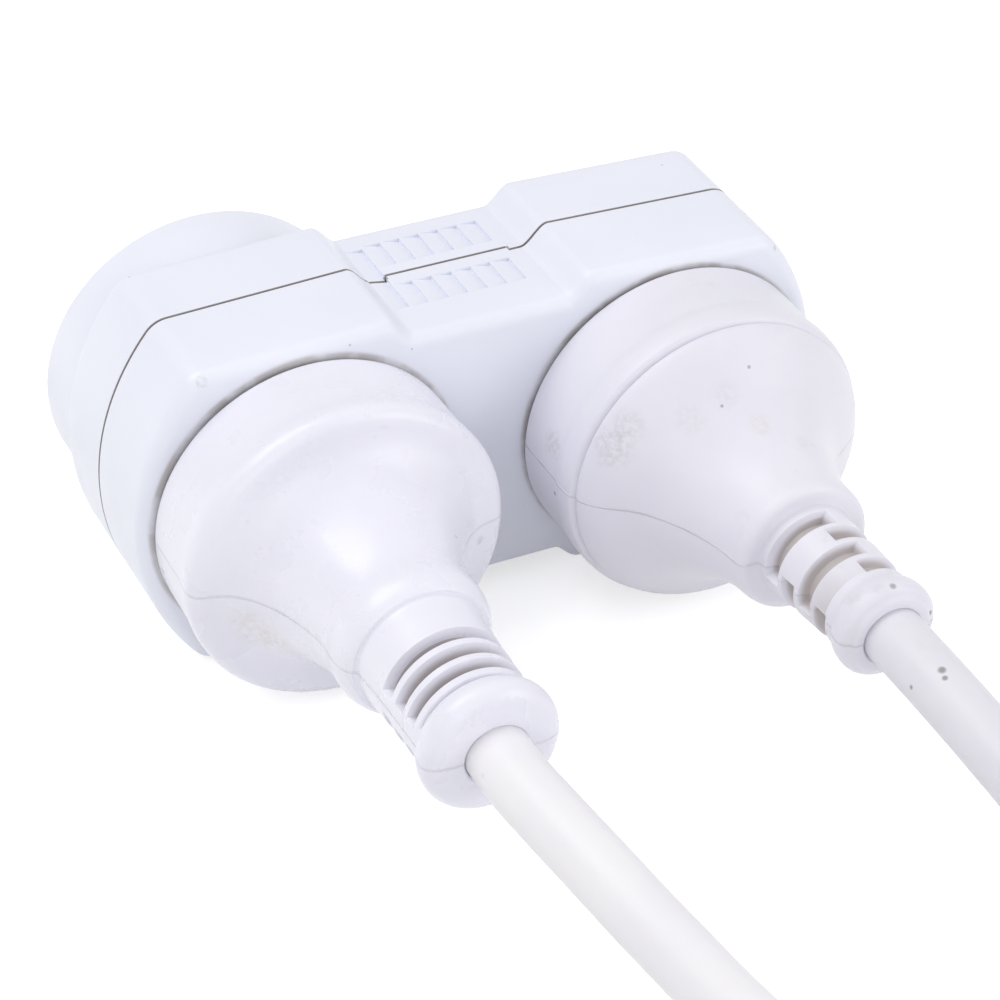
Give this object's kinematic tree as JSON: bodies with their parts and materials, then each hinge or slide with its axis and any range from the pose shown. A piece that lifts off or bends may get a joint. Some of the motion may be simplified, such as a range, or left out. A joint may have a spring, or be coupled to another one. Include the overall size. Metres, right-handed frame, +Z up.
{
  "type": "double adapter plug",
  "caption": "Flat double mains adapter with two side by side sockets, a round pinned boss behind one lobe, and two moulded plugs with leads seated in it.",
  "frame": {"origin": "bottom centre of the adapter with its two plugs, leads left out", "axes": "+X across the two sockets from the pinned lobe to the plain one, +Y out of the back towards the wall outlet, +Z up"},
  "size_m": [0.0944, 0.3863, 0.0494],
  "materials": {
    "case_plastic": "satin moulded bluish white",
    "contact_brass": "pressed strip",
    "pin_brass": "pale rolled brass",
    "screw_steel": "plated",
    "plug_a_vinyl": "smooth flexible vinyl, slightly lilac white",
    "plug_b_vinyl": "scuffed flexible vinyl, slightly lilac white",
    "carrier_plastic": "hard off-white moulding",
    "lead_a_vinyl": "extruded vinyl sheath, slightly pink white",
    "lead_b_vinyl": "extruded vinyl sheath with dirt",
    "connector_vinyl": "smooth flexible vinyl"
  },
  "bodies": {
    "root": {"front_shell": "case_plastic", "rear_shell": "case_plastic", "active_strip": "contact_brass", "neutral_strip": "contact_brass", "earth_strip": "contact_brass", "wall_pin_active": "pin_brass", "wall_pin_neutral": "pin_brass", "wall_pin_earth": "pin_brass", "case_screw_1": "screw_steel", "case_screw_2": "screw_steel", "plug_a_body": "plug_a_vinyl", "plug_a_pin_carrier": "carrier_plastic", "plug_a_pin_active": "pin_brass", "plug_a_pin_neutral": "pin_brass", "plug_a_pin_earth": "pin_brass", "plug_b_body": "plug_b_vinyl", "plug_b_pin_carrier": "carrier_plastic", "plug_b_pin_active": "pin_brass", "plug_b_pin_neutral": "pin_brass", "plug_b_pin_earth": "pin_brass", "lead_a_run": "lead_a_vinyl", "lead_a_coil": "lead_a_vinyl", "lead_a_tail": "lead_a_vinyl", "lead_a_connector": "connector_vinyl", "lead_b_run": "lead_b_vinyl", "lead_b_coil": "lead_b_vinyl", "lead_b_tail": "lead_b_vinyl", "lead_b_connector": "connector_vinyl"}
  },
  "joints": []
}
